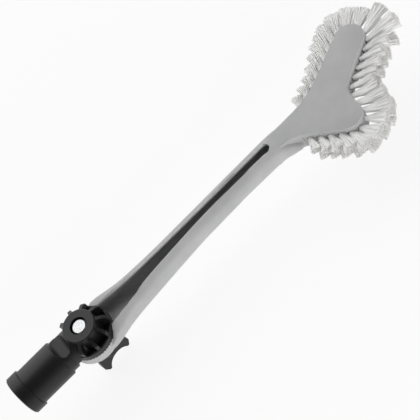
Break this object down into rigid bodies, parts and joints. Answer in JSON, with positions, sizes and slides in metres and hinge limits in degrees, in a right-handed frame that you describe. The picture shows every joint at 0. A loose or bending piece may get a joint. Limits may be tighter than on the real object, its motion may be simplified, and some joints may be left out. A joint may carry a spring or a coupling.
{
  "type": "moulding brush",
  "caption": "Two-lobed angled scrubbing brush on a hollow slotted handle, with a toothed swivel socket for an extension pole clamped by a cross bolt and wing nut.",
  "frame": {"origin": "centre of the bolt head's flat face, on the axis of the pivot bolt", "axes": "+X along the handle from the pivot towards the brush head, +Z along the pivot axis out of the bolt head, +Y completes a right-handed frame"},
  "size_m": [0.4195, 0.117, 0.0702],
  "materials": {
    "grey_plastic": "satin moulded polypropylene",
    "black_plastic": "satin moulded nylon",
    "zinc_steel": "bright zinc plate",
    "washer_steel": "plain zinc plate",
    "knob_plastic": "satin moulded nylon",
    "insert_brass": "turned",
    "white_nylon": "cut nylon filament"
  },
  "bodies": {
    "brush": {"handle_head": "grey_plastic", "tufts_01": "white_nylon", "tufts_02": "white_nylon", "tufts_03": "white_nylon", "tufts_04": "white_nylon", "tufts_05": "white_nylon", "tufts_06": "white_nylon", "tufts_07": "white_nylon", "tufts_08": "white_nylon", "tufts_09": "white_nylon", "tufts_10": "white_nylon", "tufts_11": "white_nylon", "tufts_12": "white_nylon", "tufts_13": "white_nylon", "tufts_14": "white_nylon"},
    "bolt": {"pivot_bolt": "zinc_steel"},
    "socket": {"pole_socket": "black_plastic"},
    "washer": {"washer": "washer_steel"},
    "nut": {"wing_nut": "knob_plastic", "nut_insert": "insert_brass"}
  },
  "joints": [
    {"name": "teeth_release", "type": "slide", "parent": "brush", "child": "bolt", "axis": [0, 0, 1], "range_m": [0, 0.0014]},
    {"name": "angle_pivot", "type": "hinge", "parent": "bolt", "child": "socket", "pos_m": [0, 0, -0.0176], "axis": [0, 0, 1], "range_deg": [-75, 75]},
    {"name": "nut_travel", "type": "slide", "parent": "brush", "child": "washer", "axis": [0, 0, -1], "range_m": [0, 0.0021]},
    {"name": "nut_turn", "type": "hinge", "parent": "washer", "child": "nut", "pos_m": [0, 0, -0.038], "axis": [0, 0, -1], "range_deg": [0, 720]}
  ],
  "couplings": [
    {"joint": "nut_travel", "follows": "nut_turn", "m_per_rad": 0.00015915}
  ]
}
